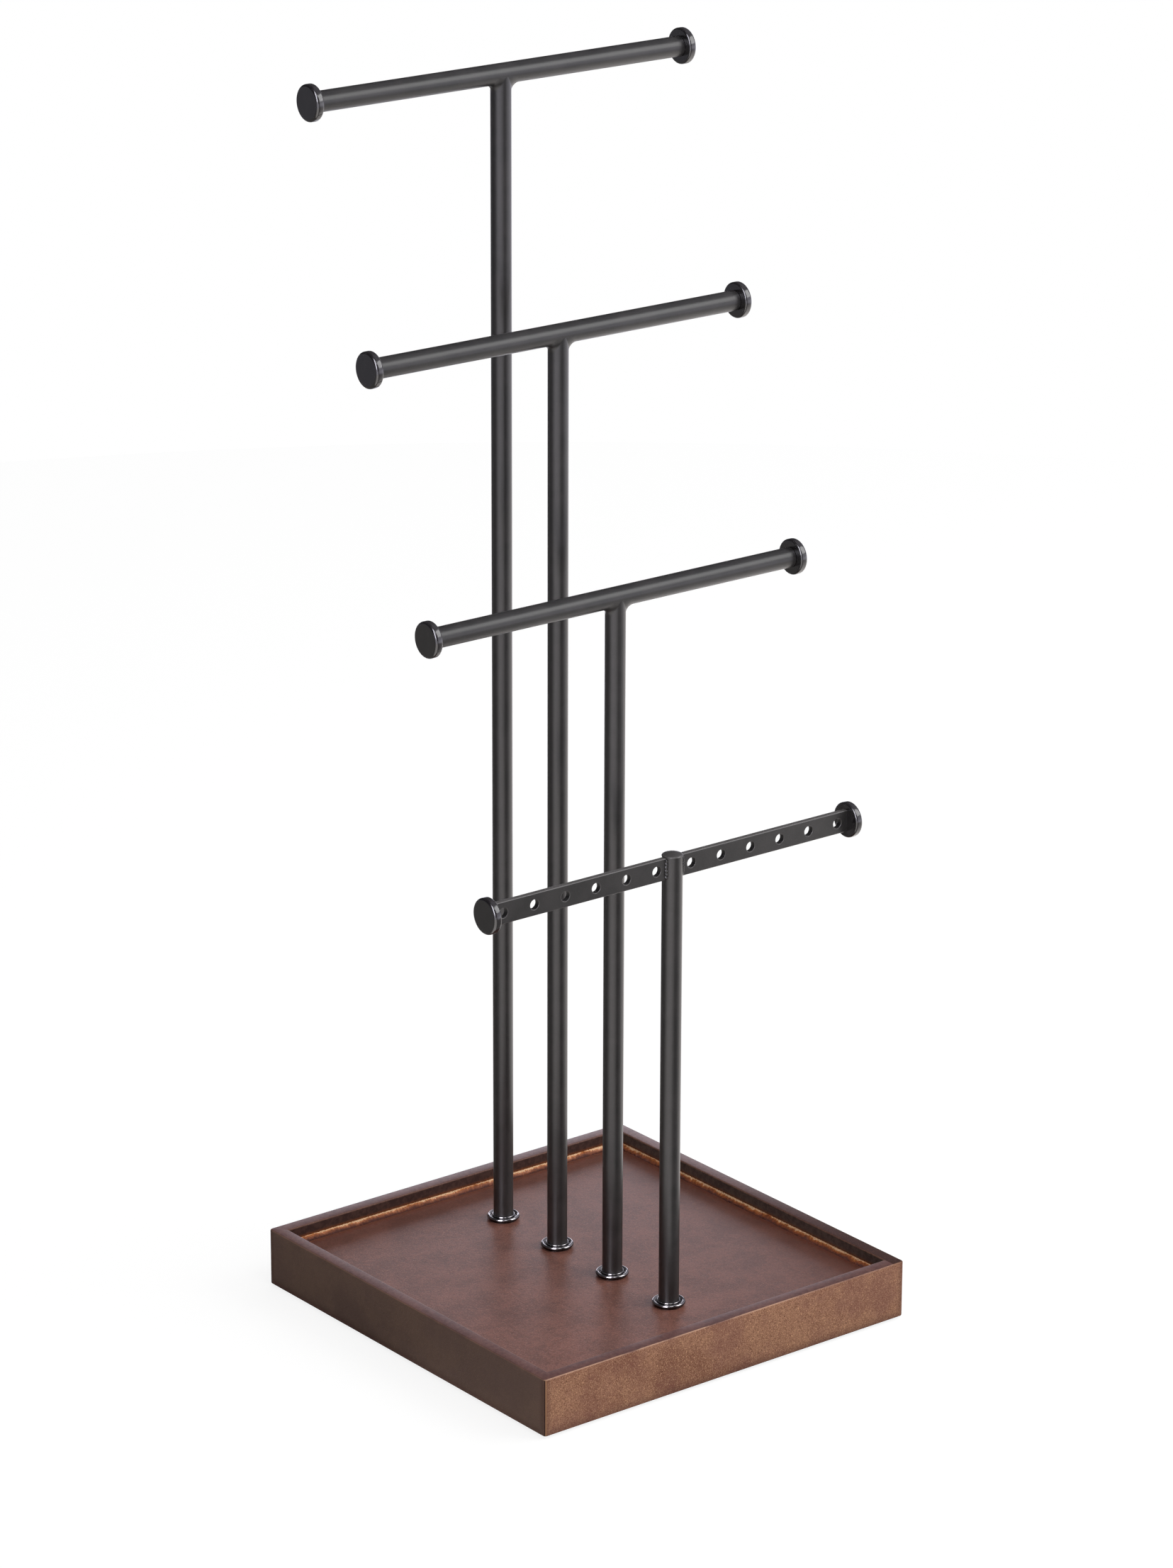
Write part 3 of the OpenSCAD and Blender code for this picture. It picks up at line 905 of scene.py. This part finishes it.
for tier in ROUND_TIERS:
    make_round_bar(tier)

# %% [markdown]
# ## Weld fillets
#
# Under each round bar, the weld fills the corner on both sides of the post. Round the post at the angle a,
# its leg shrinks with a power of cos a, because at the post's front and back the two tubes only touch.
# The right fillet is a little fuller than the left one, and slow ripples make it look laid by hand.

# %% Fillets under the bars
WELD_LEG = 2.8 * MM
WELD_LEAN = 0.45 * MM
WELD_ROOT = 0.15 * MM
WELD_ROOT_SHARE = 0.97
WELD_EDGE = 0.08 * MM
WELD_FADE = 1.3
WELD_RIPPLE = 0.08
WELD_REACH = 0.985
WELD_STEPS = 10


def ripple(a, seed, waves=7):
    """Sum of waves round a closed ring, between about -1 and 1, the same for the same seed."""
    rng = np.random.default_rng(seed)
    count = np.arange(1, waves + 1)
    phase, share = rng.uniform(0, 2 * np.pi, waves), rng.uniform(0.3, 1, waves)
    return (share * np.sin(np.multiply.outer(a, count) + phase)).sum(axis=-1) / share.sum()


def make_fillet(tier):
    """Ring of hollow sections round the post.

    At turn t a point is at radius tube + leg (1 - cos t) and leg (1 - sin t) below the bar's underside.
    """
    a = np.linspace(0, 2 * np.pi, TURNS, endpoint=False)
    rough = 1 + WELD_RIPPLE * ripple(a, 40 + tier, 9)
    leg = (WELD_LEG + WELD_LEAN * np.cos(a)) * np.abs(np.cos(a)) ** WELD_FADE * rough + WELD_EDGE
    t = np.radians(np.linspace(0, 90, WELD_STEPS + 1))[:, None]
    r = tube_r + leg * (1 - np.cos(t))
    y = np.clip(r * np.sin(a), -WELD_REACH * tube_r, WELD_REACH * tube_r)
    z = bar_z[tier] - np.sqrt(tube_r ** 2 - y ** 2) - leg * (1 - np.sin(t))
    face = np.stack([r * np.cos(a), y, z], axis=-1)
    root = np.column_stack([(tube_r - WELD_ROOT) * np.cos(a), y[0] * WELD_ROOT_SHARE, z[-1] + WELD_ROOT])
    ring = grid(np.concatenate([face, root[None]]), close_rows=True, close_columns=True)
    ring = moved(ring, (0, post_y[tier], 0))
    make_piece(f"weld_fillet_{tier}", [ring], [f"weld_{tier}"], "powder_coat", COAT, crease=60)


for tier in ROUND_TIERS:
    make_fillet(tier)

# %% [markdown]
# ## End caps
#
# Each bar ends in a lacquered button: a flat face with a rounded edge, a straight band and a flat back with
# a slightly eased edge. All eight are one profile turned on Z and laid along X. On the round bars, a plug
# behind the button fills the tube's end.

# %% Button caps
CAP_ROUND = 0.9 * MM
CAP_BACK_ROUND = 0.65 * MM
PLUG_PLAY = 0.02 * MM
PLUG_EASE = 0.3 * MM
cap_r = width("cap_1_left", 2) / 2
cap_t = tray_half - bar_end
plug_end = tray_half - box("cap_1_right")[0][0]


def cap_profile(tail):
    """Radius and distance from the face: face, rounding, straight band, small back rounding, tail."""
    rim = cap_r - CAP_ROUND
    face = [(0, 0), (rim * 0.98, 0)]
    edge = arc((rim, CAP_ROUND), CAP_ROUND, -90, 0, 10)
    back = arc((cap_r - CAP_BACK_ROUND, cap_t - CAP_BACK_ROUND), CAP_BACK_ROUND, 0, 90, 6)
    return np.concatenate([face, edge, back, tail])


def make_cap(tier, side, name):
    """Cap on one end of a bar, its face outwards."""
    plug_r = bore_r - PLUG_PLAY
    plug = [(plug_r, cap_t), (plug_r, plug_end - PLUG_EASE), (bore_r - PLUG_EASE, plug_end), (0, plug_end)]
    tail = [(0, cap_t)] if tier == FLAT_TIER else plug
    points, faces = along_x(turned(cap_profile(np.array(tail))))
    points = points * np.array([-side, 1, 1]) + np.array([side * tray_half, post_y[tier], bar_z[tier]])
    make_piece(f"button_cap_{tier}_{name}", [(points, faces)], [f"cap_{tier}_{name}"], "black_nickel", SMOKED)


print("cap", round(2 * cap_r / MM, 2), "mm across and", round(cap_t / MM, 2), "mm thick")
for tier in TIERS:
    make_cap(tier, -1, "left")
    make_cap(tier, 1, "right")

# %% [markdown]
# ## Slotted post
#
# The shortest post takes the flat bar in a slot cut down from its top. The slot's sides fall on doubled
# columns of the grid: one of each pair ends at the slot's floor and the other at the post's top, and the
# strip between them is the slot's wall.

# %% The slotted post
flat_low, flat_high, flat_mid = box("earring_bar")
slot_half = width("earring_bar", 1) / 2 + JOINT_GAP
ACROSS, BETWEEN = 11, 38


def make_slotted_post(tier):
    """Tube on Z, notched on both sides along X for the flat bar.

    The bore's angles follow the outside's, stretched so that both put the slot's edges on the same planes.
    """
    outer_edge, inner_edge = math.asin(slot_half / tube_r), math.asin(slot_half / bore_r)
    within = np.linspace(-outer_edge, outer_edge, ACROSS)
    beyond = np.linspace(outer_edge, math.pi - outer_edge, BETWEEN)
    a = np.concatenate([within, beyond, within + math.pi, beyond + math.pi])
    marks = [[-e, e, math.pi - e, math.pi + e, 2 * math.pi - e] for e in (outer_edge, inner_edge)]
    b = np.interp(a, *marks)
    notched = np.tile(np.repeat([True, False], [ACROSS, BETWEEN]), 2)
    notch = flat_low[2] - JOINT_GAP
    top = np.where(notched, notch, flat_high[2])
    make_post(tier, [(tube_r, a, post_foot), (tube_r, a, notch), (tube_r, a, top),
                     (bore_r, b, top), (bore_r, b, notch), (bore_r, b, post_foot)])


make_slotted_post(FLAT_TIER)

# %% [markdown]
# ## Flat earring bar
#
# The flat bar has rounded edges and six holes with softened lips on each side of its post. A Boolean
# modifier would leave long thin faces that shade badly. Here every hole has its own cell of the bar:
# rings of points pass from a rectangle to a circle, over the lip, through the hole and out to the
# rectangle behind. A cell shares its upper and lower points with the strips of the rounded edges.

# %% Cells of the flat bar
EDGE_R = 0.3 * MM
LIP_R = 0.18 * MM
CELL_MARGIN = 0.06 * MM
SIDE = 12
flat_half_t = width("earring_bar", 1) / 2
bores = [mount for mount in frame["record"]["mounts"] if mount["kind"] == "bore"]
hole_r = bores[0]["dims"]["r_mm"] * MM
hole_x = np.sort([mount["pos_m"][0] for mount in bores])


def rectangle_ring(x0, x1, z0, z1):
    """SIDE points on each side of a rectangle, anticlockwise from the corner x1, z0."""
    corners = np.array([(x1, z0), (x1, z1), (x0, z1), (x0, z0), (x1, z0)])
    t = np.linspace(0, 1, SIDE, endpoint=False)[:, None]
    return np.concatenate([a + (b - a) * t for a, b in zip(corners[:-1], corners[1:])])


def circle_ring(x, z, r):
    """The same number of points round a circle, starting at the direction of the same corner."""
    a = np.linspace(-np.pi / 4, 2 * np.pi - np.pi / 4, 4 * SIDE, endpoint=False)
    return np.column_stack([x + r * np.cos(a), z + r * np.sin(a)])


def hole_cell(x0, x1, z0, z1, x, z):
    """Rings from the front rectangle through the hole to the back one; y is -half on the front."""
    soft = CELL_MARGIN
    front = [(rectangle_ring(x0, x1, z0, z1), -flat_half_t),
             (rectangle_ring(x0 + soft, x1 - soft, z0 + soft, z1 - soft), -flat_half_t),
             (circle_ring(x, z, hole_r + LIP_R + soft), -flat_half_t)]
    for t in np.radians(np.linspace(0, 90, 5)):
        r, y = hole_r + LIP_R * (1 - math.sin(t)), -flat_half_t + LIP_R * (1 - math.cos(t))
        front.append((circle_ring(x, z, r), y))
    rings = front + [(ring, -y) for ring, y in front[::-1]]
    return np.array([np.column_stack([ring[:, 0], np.full(len(ring), y), ring[:, 1]]) for ring, y in rings])


def plain_cell(x0, x1, z0, z1):
    """Both faces of a stretch without a hole, as two grids."""
    x, z = np.meshgrid(np.linspace(x0, x1, SIDE + 1), np.linspace(z0, z1, SIDE + 1))
    return [np.stack([x, np.full(x.shape, y), z], axis=-1) for y in (-flat_half_t, flat_half_t)]


def edge_strip(xs, z_face, outward):
    """Rounded long edge from the front face over to the back one, at every x."""
    y_in = flat_half_t - EDGE_R
    over = np.concatenate([arc((-y_in, 0), EDGE_R, 180, 90, 6), arc((y_in, 0), EDGE_R, 90, 0, 6)])
    x, y = np.meshgrid(xs, over[:, 0])
    z = z_face + outward * np.meshgrid(xs, over[:, 1])[1]
    return np.stack([x, y, z], axis=-1)


def make_flat_bar():
    """Cells side by side along X, both edge strips, and a fan that closes each end.

    The field edge is 1 on the holes' lips and on the long edges, where the coat is thin and a highlight is
    painted.
    """
    z0, z1 = flat_low[2] + EDGE_R, flat_high[2] - EDGE_R
    step, half = (hole_x[1] - hole_x[0]) / 2, len(hole_x) // 2
    inner = hole_x[half] - step
    left, right = hole_x[:half - 1] + step, hole_x[half + 1:] - step
    edges = np.concatenate([[flat_low[0]], left, [-inner, inner], right, [flat_high[0]]])
    patches, xs = [], []
    for x0, x1 in zip(edges[:-1], edges[1:]):
        xs.append(np.linspace(x0, x1, SIDE, endpoint=False))
        inside = hole_x[(hole_x > x0) & (hole_x < x1)]
        if len(inside):
            patches.append(grid(hole_cell(x0, x1, z0, z1, inside[0], flat_mid[2]), close_columns=True))
        else:
            patches += [grid(cell) for cell in plain_cell(x0, x1, z0, z1)]
    xs = np.concatenate(xs + [edges[-1:]])
    top, bottom = edge_strip(xs, z1, 1), edge_strip(xs, z0, -1)
    patches += [grid(top), grid(bottom)]
    rise = np.linspace(z0, z1, SIDE + 1)
    for end in (0, -1):
        x = xs[end]
        front = np.column_stack([np.full(SIDE + 1, x), np.full(SIDE + 1, -flat_half_t), rise])
        back = (front * [1, -1, 1])[:0:-1]
        patches.append(fan(np.concatenate([front[:-1], top[:-1, end], back, bottom[:0:-1, end]])))
    points = np.concatenate([points for points, _ in patches])
    away = np.hypot(points[:, :1] - hole_x, points[:, 2:] - flat_mid[2]).min(axis=1)
    lip = (away < hole_r + LIP_R + 0.01 * MM) & (np.abs(points[:, 1]) > flat_half_t - LIP_R * 0.9)
    long_edge = np.abs(points[:, 2] - flat_mid[2]) > (z1 - z0) / 2 + EDGE_R * 0.05
    patches = [moved(patch, (0, flat_mid[1], 0)) for patch in patches]
    # Lips and long edges are paled: thin coat, and a painted highlight.
    pale_edge_and_highlight = 1.0 * (lip | long_edge)
    make_piece("flat_earring_bar", patches, ["earring_bar"], "powder_coat", COAT, edge=pale_edge_and_highlight)


make_flat_bar()

# %% [markdown]
# ## Dome and slot welds
#
# A small pressed dome closes the slotted post. Its chamfered edge stands a hair proud of the tube and
# catches the light. The flat bar is held by a rough upright bead of weld in each corner between bar and
# tube: a rod whose radius wanders in lumps that the coating didn't hide.

# %% Dome
CROWN_INSET = 0.45 * MM
CROWN_FOOT = 0.62 * MM
CROWN_POWER = 2.2


def make_dome(tier):
    """Turned cap: underside, edge, chamfer, and a crown that falls off with a power of the radius."""
    low, high, middle = box(f"post_{tier}_dome")
    rise = high[2] - low[2]
    r = width(f"post_{tier}_dome", 0) / 2
    crown_r = r - CROWN_INSET
    t = np.linspace(1, 0, 14)[1:]
    crown = np.column_stack([crown_r * t, rise - (rise - CROWN_FOOT) * t ** CROWN_POWER])
    edge = [(0, 0), (r - 0.12 * MM, 0), (r, 0.10 * MM), (r, 0.22 * MM), (r - 0.14 * MM, 0.42 * MM),
            (crown_r, CROWN_FOOT)]
    # Painted highlight: the field edge pales the chamfer most and the crown a little.
    pale_edge_and_highlight = np.repeat([0, 0, 0.3, 0.6, 1.0, 0.7] + [0.45] * len(crown), TURNS)
    patch = moved(turned(np.concatenate([edge, crown])), (0, middle[1], low[2]))
    make_piece(f"upright_{tier}_dome", [patch], [f"post_{tier}_dome"], "powder_coat", COAT,
               crease=25, edge=pale_edge_and_highlight)


make_dome(FLAT_TIER)

# %% Slot welds
BEAD_R = 0.62 * MM
CORNER_GAP = 0.10 * MM
START_GAP = 0.35 * MM
END_GAP = 0.25 * MM


def lumpy_rod(x, y, low, high, seed, rows=72, columns=24):
    """Upright rod whose radius is r (1 + lumps), drawn in to nothing at both ends.

    The lumps are a sum of waves in height and angle with seeded phases.
    """
    rng = np.random.default_rng(seed)
    t = np.linspace(0, 1, rows)[:, None]
    a = np.linspace(0, 2 * np.pi, columns, endpoint=False)[None, :]
    lumps = np.zeros((rows, columns))
    for _ in range(16):
        share, up = rng.uniform(0.3, 1), rng.uniform(8, 60)
        around, phase = rng.integers(0, 4), rng.uniform(0, 6.3)
        lumps += share * np.sin(up * t + around * a + phase)
    lumps /= np.abs(lumps).max()
    taper = np.sqrt(np.clip(1 - (2 * t - 1) ** 8, 0, 1))
    r = BEAD_R * (0.95 + 0.38 * lumps) * taper
    points = [x + r * np.cos(a), y + r * np.sin(a), low + (high - low) * t + 0 * a]
    return grid(np.stack(points, axis=-1), close_columns=True)


def make_slot_weld(tier):
    """Four lumpy beads, one in each corner between the tube and the flat bar."""
    y = flat_half_t + CORNER_GAP
    x = math.sqrt(tube_r ** 2 - y ** 2) + CORNER_GAP
    low, high = flat_low[2] + START_GAP, flat_high[2] - END_GAP
    corners = [(sx * x, flat_mid[1] + sy * y) for sx in (-1, 1) for sy in (-1, 1)]
    rods = [lumpy_rod(cx, cy, low, high, 60 + k) for k, (cx, cy) in enumerate(corners)]
    make_piece(f"slot_weld_{tier}", rods, [f"weld_{tier}"], "powder_coat", COAT, crease=180)


make_slot_weld(FLAT_TIER)

# %% [markdown]
# ## Collars
#
# Each post stands in a plated collar: a fat rounded rim, a shallow dish, and a lip that closes round the
# tube. The rim is rolled under at the bottom, where painted shade darkens the plating just above the floor.

# %% Collars
COLLAR_RIM_R = 0.6 * MM
COLLAR_LIP_R = 0.25 * MM
COLLAR_DISH_R = 0.42 * MM
COLLAR_DISH_IN = 0.95 * MM
COLLAR_FOOT_R = 0.1 * MM
COLLAR_HOLE_R = 2.15 * MM
LIP_RISE = 0.2 * MM


def make_collar(tier):
    """One turned profile, from the bottom edge over rim, dish and lip into the seat and the screw hole."""
    low, high, middle = box(f"collar_{tier}")
    height, web = high[2] - low[2], post_foot - low[2]
    rim = (high[0] - low[0]) / 2 - COLLAR_RIM_R
    rim_z = height - LIP_RISE - COLLAR_RIM_R
    seat = tube_r + JOINT_GAP
    profile = np.concatenate([
        [(COLLAR_HOLE_R, 0), (rim - COLLAR_FOOT_R / 2, 0)],
        arc((rim - COLLAR_FOOT_R, COLLAR_FOOT_R), COLLAR_FOOT_R, -60, 0, 3),
        arc((rim, rim_z), COLLAR_RIM_R, -82, 150, 22),
        arc((rim - COLLAR_DISH_IN, rim_z + COLLAR_DISH_R), COLLAR_DISH_R, -60, -115, 5),
        arc((seat + COLLAR_LIP_R, height - COLLAR_LIP_R), COLLAR_LIP_R, 10, 180, 9),
        [(seat, web), (COLLAR_HOLE_R, web)],
    ])
    patch = moved(turned(profile, closed=True), (0, middle[1], low[2]))
    make_piece(f"post_collar_{tier}", [patch], [f"collar_{tier}"], "black_nickel", NICKEL, crease=50)


for tier in TIERS:
    make_collar(tier)

# %% [markdown]
# ## Glue line and pads
#
# Where the floor meets the rails, a bead of stained glue was run along and left rough. Its section is a
# quarter round that grows and shrinks along the way, on one closed square path without ends.

# %% Glue bead
BEAD_STEP = 0.3 * MM
BEAD_ROWS = 9
BEAD_ROOT = 0.12 * MM


def wander(n, seed, coarse, fine, count=60):
    """Noise round a closed ring of n stations: waves of whole numbers with seeded phases, within 1."""
    rng = np.random.default_rng(seed)
    waves = rng.integers(coarse, fine, count)
    phase = rng.uniform(0, 2 * np.pi, count)
    share = rng.uniform(0.4, 1, count)
    station = np.arange(n)[:, None] * (2 * np.pi / n)
    total = (share * np.sin(waves * station + phase)).sum(axis=1)
    return total / np.abs(total).max()


def bead_section(n):
    """Distance from the wall and height above the floor, row by row up the section, at n stations.

    Each row is a point of a quarter ellipse whose two half axes wander along the way. The last three rows
    sink the bead's back into wall and floor.
    """
    across = bead_r * (1.16 + 0.14 * wander(n, 11, 60, 500) + 0.10 * wander(n, 12, 500, 1300))
    height = bead_r * (1.02 + 0.10 * wander(n, 13, 60, 500) + 0.10 * wander(n, 14, 500, 1400))
    t = np.radians(np.linspace(0, 90, BEAD_ROWS))[:, None]
    lumps = np.array([wander(n, 20 + row, 300, 1500) for row in range(BEAD_ROWS)])
    swell = 1 + 0.07 * lumps * np.sin(2 * t)
    out, up = across * np.cos(t) * swell, height * np.sin(t) * swell
    sunk = np.full((1, n), -BEAD_ROOT)
    return np.vstack([out, sunk, sunk, across[None]]), np.vstack([up, up[-1:], sunk, sunk])


def make_glue_bead():
    """Rows go up the section. Four stretches of columns, each along the front, are turned to their walls."""
    side = len(np.arange(-wall_x, wall_x, BEAD_STEP))
    out, up = bead_section(4 * side)
    depth = wall_x - out
    along = np.tile(np.linspace(-1, 1, side, endpoint=False), 4) * depth
    stretches = np.split(np.stack([along, -depth, floor_z + up], axis=-1), 4, axis=1)
    points = np.concatenate([turn_about_z(part, wall) for wall, part in enumerate(stretches)], axis=1)
    crest = np.concatenate([np.linspace(0, 1, BEAD_ROWS), [1, 0, 0]])
    crest = np.broadcast_to(crest[:, None], points.shape[:2])
    patch = grid(points, close_rows=True, close_columns=True)
    make_piece("glue_line", [patch], ["glue_bead"], "glue", GLUE, crease=180, crest=crest)


make_glue_bead()

# %% [markdown]
# Four thin rubber pads keep the screw heads off the table.

# %% Foot pads
PAD_R = 6 * MM
PAD_EASE = 0.25 * MM


def make_pads():
    """Four discs with rounded edges, flat below."""
    low, high, _ = box("foot_pads")
    reach, thick, soft = high[0] - PAD_R, high[2] - low[2], PAD_EASE
    profile = np.concatenate([
        [(0, 0)], arc((PAD_R - soft, soft), soft, -90, 0, 5),
        arc((PAD_R - soft, thick - soft), soft, 0, 90, 5), [(0, thick)],
    ])
    pad = turned(profile, turns=72)
    pads = [moved(pad, (x, y, 0)) for x in (-reach, reach) for y in (-reach, reach)]
    make_piece("rubber_pads", pads, ["foot_pads"], "rubber", RUBBER)


make_pads()

# %% [markdown]
# The dressed stand must fill the same space as the imported model. Last, the picture keeps its colours as
# rendered, with the plain Standard view.

# %% Finish
scene = bpy.context.scene
scene.view_settings.view_transform = "Standard"
